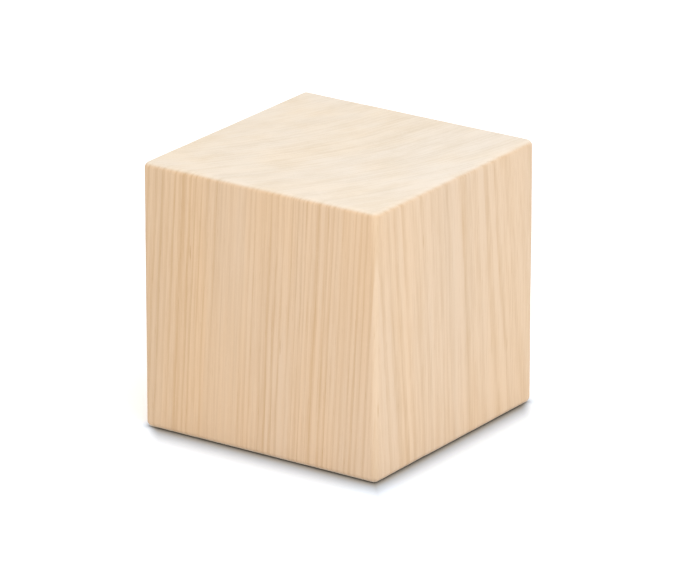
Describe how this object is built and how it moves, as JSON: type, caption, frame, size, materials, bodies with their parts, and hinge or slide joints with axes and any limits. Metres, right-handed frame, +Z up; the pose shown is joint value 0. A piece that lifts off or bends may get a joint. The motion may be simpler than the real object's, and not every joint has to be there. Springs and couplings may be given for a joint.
{
  "type": "wooden cube",
  "caption": "Solid cube of bare pale hardwood with lightly eased edges and corners, grain running upright and end grain on the top and bottom.",
  "frame": {"origin": "middle of the face that the cube stands on", "axes": "+Z up along the grain, +X and +Y out of the two pairs of long-grain sides; -Y is the front, a close, straight-grained side, and +X the right, a plainer side with wider, wavy grain"},
  "size_m": [0.0508, 0.0508, 0.0508],
  "materials": {
    "bare_birch": "matte"
  },
  "bodies": {
    "root": {"wooden_cube": "bare_birch"}
  },
  "joints": []
}
